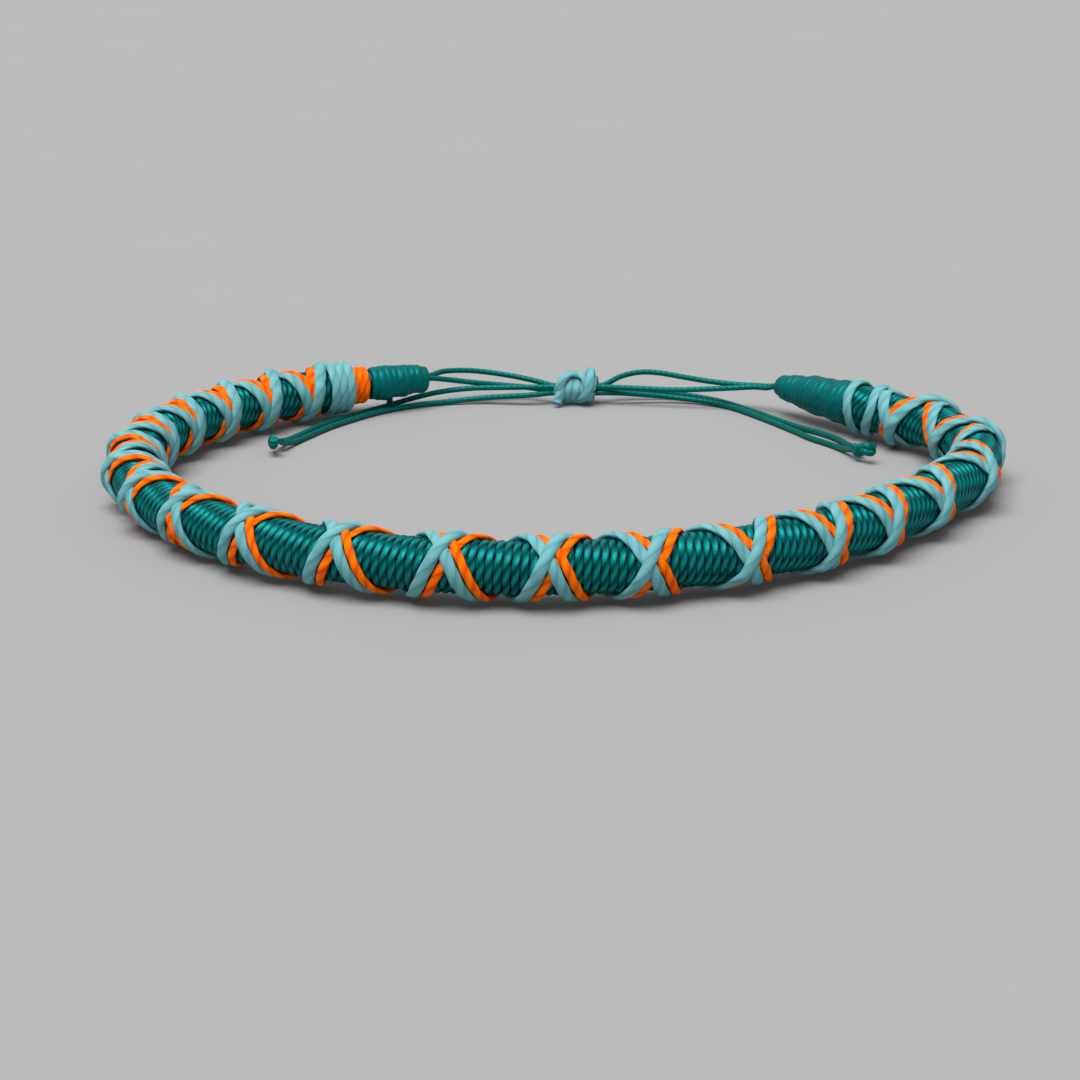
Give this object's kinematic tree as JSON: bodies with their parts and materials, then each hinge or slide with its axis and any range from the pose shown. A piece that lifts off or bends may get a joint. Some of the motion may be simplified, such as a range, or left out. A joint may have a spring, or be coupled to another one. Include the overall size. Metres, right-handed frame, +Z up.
{
  "type": "friendship bracelet",
  "caption": "Friendship bracelet: a round thread-wound band, open at the back, under criss-cross wraps, with bound ends and thin closure cords through a sliding knot.",
  "frame": {"origin": "middle of the band with its wraps and bindings seen from above, on the surface it lies on", "axes": "+X along the bracelet's width, +Y from its front towards the closure, +Z up, along the wrist"},
  "size_m": [0.0781, 0.0635, 0.0058],
  "materials": {
    "teal_thread": "waxed polyester thread, satin",
    "aqua_thread": "twisted waxed thread, satin",
    "orange_thread": "twisted waxed thread, satin",
    "dark_teal_cord": "bound waxed cord, satin",
    "teal_cord": "thin waxed cord, slightly glossy"
  },
  "bodies": {
    "root": {"wound_band": "teal_thread", "pale_rise_wrap": "aqua_thread", "pale_fall_wrap": "aqua_thread", "orange_rise_wrap": "orange_thread", "orange_fall_wrap": "orange_thread", "left_orange_band": "orange_thread", "left_pale_band": "aqua_thread", "right_pale_band": "aqua_thread", "left_binding": "dark_teal_cord", "right_binding": "dark_teal_cord", "left_cord_a": "teal_cord", "left_cord_b": "teal_cord", "right_cord_a": "teal_cord", "right_cord_b": "teal_cord", "sliding_knot": "aqua_thread", "left_tail_knot": "teal_cord", "right_tail_knot": "teal_cord"}
  },
  "joints": []
}
